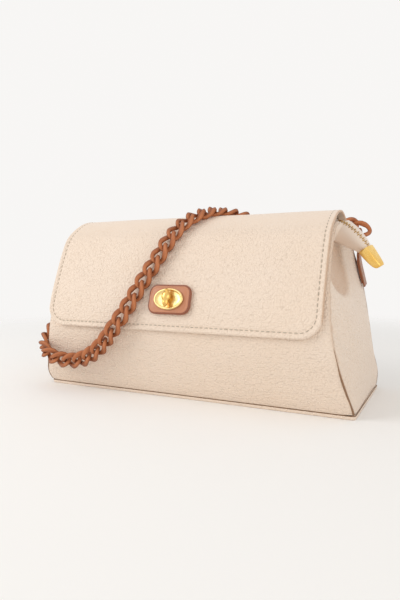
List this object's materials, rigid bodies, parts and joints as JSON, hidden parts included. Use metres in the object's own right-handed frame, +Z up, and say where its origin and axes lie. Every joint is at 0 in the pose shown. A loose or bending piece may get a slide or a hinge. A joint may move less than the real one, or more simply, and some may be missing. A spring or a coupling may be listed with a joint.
{
  "type": "chain shoulder bag",
  "caption": "Prism-shaped leather shoulder bag with a front flap, turn lock, zipped mouth and curb chain strap.",
  "frame": {"origin": "centre of the base's underside, on the surface that the bag stands on", "axes": "+X to the right seen from the front, +Y to the back, +Z up; the flap and the lock face -Y"},
  "size_m": [0.3111, 0.148, 0.1684],
  "materials": {
    "leather_body": "pebbled cream leather, satin",
    "leather_smooth": "smooth cream leather, matte",
    "leather_brown": "smooth chestnut leather, satin",
    "board": "matte grey-brown fibreboard",
    "lining_cloth": "woven beige cloth",
    "zip_cloth": "woven cream tape",
    "gold_metal": "polished pale gold plating",
    "chain_plastic": "matte terracotta resin, slightly worn"
  },
  "bodies": {
    "bag": {"base_panel": "leather_body", "base_board": "board", "front_panel": "leather_body", "back_panel": "leather_body", "gusset_left": "leather_body", "gusset_right": "leather_body", "lining": "lining_cloth", "inner_pocket": "lining_cloth", "zip_tape_front": "zip_cloth", "zip_tape_back": "zip_cloth", "zip_teeth_front": "gold_metal", "zip_teeth_back": "gold_metal", "zip_stop": "gold_metal", "zip_tail": "leather_smooth", "zip_tail_teeth": "gold_metal", "zip_end_cap": "gold_metal", "flap_seam_strip": "leather_body", "lock_catch": "gold_metal", "tab_left": "leather_brown", "tab_right": "leather_brown"},
    "flap": {"flap": "leather_body", "flap_lining": "leather_smooth", "lock_patch": "leather_brown", "lock_plate": "gold_metal", "lock_back_plate": "gold_metal"},
    "knob": {"turn_knob": "gold_metal"},
    "slider": {"zip_slider": "gold_metal"},
    "puller": {"zip_puller": "gold_metal"},
    "strap": {"ring_left": "chain_plastic", "ring_right": "chain_plastic", "chain_side": "chain_plastic", "chain_front": "chain_plastic", "chain_flap": "chain_plastic", "chain_top": "chain_plastic"}
  },
  "joints": [
    {"name": "flap_open", "type": "hinge", "parent": "bag", "child": "flap", "pos_m": [0, 0.03058, 0.13619], "axis": [-1, 0, 0], "range_deg": [0, 100]},
    {"name": "knob_turn", "type": "hinge", "parent": "flap", "child": "knob", "pos_m": [0, -0.07042, 0.08407], "axis": [0, -0.9599, 0.2803], "range_deg": [0, 90]},
    {"name": "strap_swing", "type": "hinge", "parent": "flap", "child": "strap", "pos_m": [0, 0.03058, 0.13619], "axis": [-1, 0, 0], "range_deg": [0, 28]},
    {"name": "zip_slide", "type": "slide", "parent": "bag", "child": "slider", "axis": [1, 0, 0], "range_m": [0, 0.216]},
    {"name": "puller_lift", "type": "hinge", "parent": "slider", "child": "puller", "pos_m": [-0.112, -0.00685, 0.1499], "axis": [0, -1, 0], "range_deg": [0, 24]}
  ]
}
